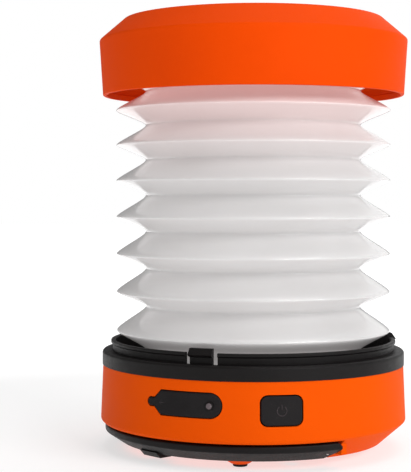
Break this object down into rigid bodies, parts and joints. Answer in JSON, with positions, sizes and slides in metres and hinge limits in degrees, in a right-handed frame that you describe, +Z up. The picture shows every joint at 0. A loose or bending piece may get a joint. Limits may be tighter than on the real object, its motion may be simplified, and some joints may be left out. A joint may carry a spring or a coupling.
{
  "type": "camping lantern",
  "caption": "Collapsible camping lantern: orange cap and base joined by a milky silicone bellows, with snap clips, a power button, a rubber port cover and a fold-out bail.",
  "frame": {"origin": "on the floor under the middle of the lantern, at the height of the tips of its feet", "axes": "+Z up through the cap, -Y the front with the power button, +X to the right"},
  "size_m": [0.0904, 0.0904, 0.1256],
  "materials": {
    "orange_plastic": "fine moulded texture, satin",
    "black_plastic": "satin moulded",
    "milky_silicone": "milky translucent silicone",
    "black_rubber": "matt rubber",
    "white_plastic": "gloss white",
    "frosted_lens": "frosted",
    "white_board": "white solder mask",
    "led_yellow": "phosphor",
    "green_board": "solder mask",
    "grey_ferrite": "ferrite",
    "cell_wrap": "shrink wrap",
    "wire_red": "insulated wire",
    "steel": "plated"
  },
  "bodies": {
    "base": {"base_housing": "orange_plastic", "deck_ring": "black_plastic", "deck_seal": "black_rubber", "bellows": "milky_silicone", "bellows_bottom_clamp": "white_plastic", "clamp_screws": "steel", "led_board": "white_board", "leds": "led_yellow", "led_lens": "frosted_lens", "led_board_screws": "steel", "main_board": "green_board", "usb_socket": "steel", "tact_switch": "black_plastic", "charge_chip": "black_plastic", "inductor": "grey_ferrite", "board_screws": "steel", "battery_cell": "cell_wrap", "battery_strap": "steel", "strap_screws": "steel", "battery_leads": "wire_red", "led_leads": "wire_red", "port_cover_tail": "black_rubber", "port_cover_stud": "black_plastic", "handle_pins": "steel", "rubber_feet": "black_rubber", "housing_screws": "steel"},
    "cap": {"cap_shell": "orange_plastic", "cap_liner": "white_plastic", "bellows_top_clamp": "white_plastic", "cap_screws": "steel"},
    "power_button": {"power_button": "black_rubber", "switch_plunger": "white_plastic"},
    "port_flap": {"port_cover_flap": "black_rubber"},
    "bail": {"bail_handle": "black_plastic"}
  },
  "joints": [
    {"name": "cap_slide", "type": "slide", "parent": "base", "child": "cap", "axis": [0, 0, 1], "range_m": [-0.0743, 0], "stiffness_N_per_m": 120, "springref_m": 0.006, "deforming": ["bellows"]},
    {"name": "button_press", "type": "slide", "parent": "base", "child": "power_button", "axis": [-0.1736, 0.9848, 0], "range_m": [0, 0.0008], "stiffness_N_per_m": 1800, "springref_m": -0.0004},
    {"name": "port_cover_hinge", "type": "hinge", "parent": "base", "child": "port_flap", "pos_m": [-0.01382, -0.04255, 0.0181], "axis": [0, 0, 1], "range_deg": [0, 120]},
    {"name": "bail_swing", "type": "hinge", "parent": "base", "child": "bail", "pos_m": [-0.00757, -0.00744, 0.00485], "axis": [0.7009, -0.7133, 0], "range_deg": [0, 90]}
  ]
}
